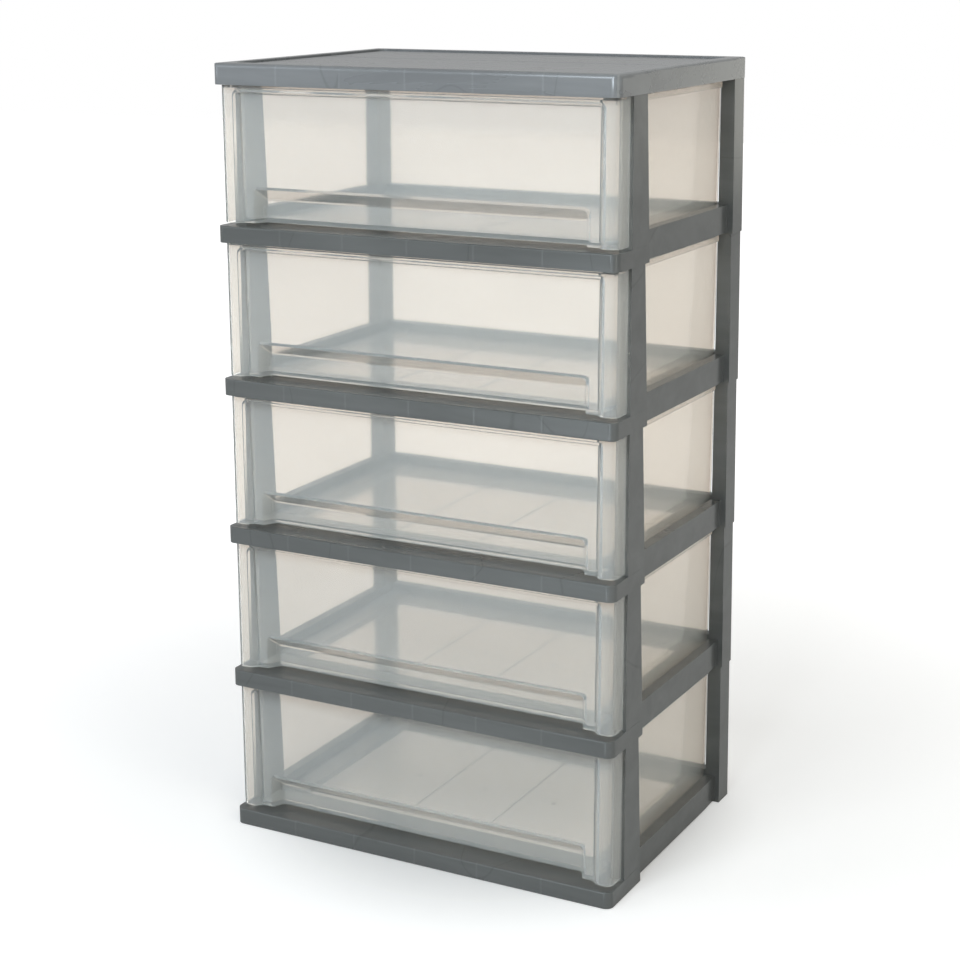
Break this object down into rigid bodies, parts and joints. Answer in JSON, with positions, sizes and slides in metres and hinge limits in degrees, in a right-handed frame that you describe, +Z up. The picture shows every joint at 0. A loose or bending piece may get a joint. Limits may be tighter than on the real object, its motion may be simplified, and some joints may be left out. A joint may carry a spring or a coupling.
{
  "type": "plastic drawer tower",
  "caption": "Tall plastic tower of stacked open frames under a flat top panel, with frosted see-through drawers that slide out of the front.",
  "frame": {"origin": "middle of the tower's footprint, on the surface it stands on", "axes": "+Z up, -Y out of the drawers' fronts, +X to the right of someone who faces the drawers"},
  "size_m": [0.365, 0.262, 0.6675],
  "materials": {
    "frame_plastic": "moulded pearl grey, satin",
    "panel_plastic": "moulded pearl grey, satin, with flow streaks",
    "drawer_plastic": "frosted, half see-through"
  },
  "bodies": {
    "tower": {"tier_frame_1": "frame_plastic", "tier_frame_2": "frame_plastic", "tier_frame_3": "frame_plastic", "tier_frame_4": "frame_plastic", "tier_frame_5": "frame_plastic", "top_panel": "panel_plastic"},
    "bottom_drawer": {"drawer_1": "drawer_plastic"},
    "second_drawer": {"drawer_2": "drawer_plastic"},
    "middle_drawer": {"drawer_3": "drawer_plastic"},
    "fourth_drawer": {"drawer_4": "drawer_plastic"},
    "top_drawer": {"drawer_5": "drawer_plastic"}
  },
  "joints": [
    {"name": "bottom_drawer_slide", "type": "slide", "parent": "tower", "child": "bottom_drawer", "axis": [0, -1, 0], "range_m": [0, 0.18]},
    {"name": "second_drawer_slide", "type": "slide", "parent": "tower", "child": "second_drawer", "axis": [0, -1, 0], "range_m": [0, 0.18]},
    {"name": "middle_drawer_slide", "type": "slide", "parent": "tower", "child": "middle_drawer", "axis": [0, -1, 0], "range_m": [0, 0.18]},
    {"name": "fourth_drawer_slide", "type": "slide", "parent": "tower", "child": "fourth_drawer", "axis": [0, -1, 0], "range_m": [0, 0.18]},
    {"name": "top_drawer_slide", "type": "slide", "parent": "tower", "child": "top_drawer", "axis": [0, -1, 0], "range_m": [0, 0.18]}
  ]
}
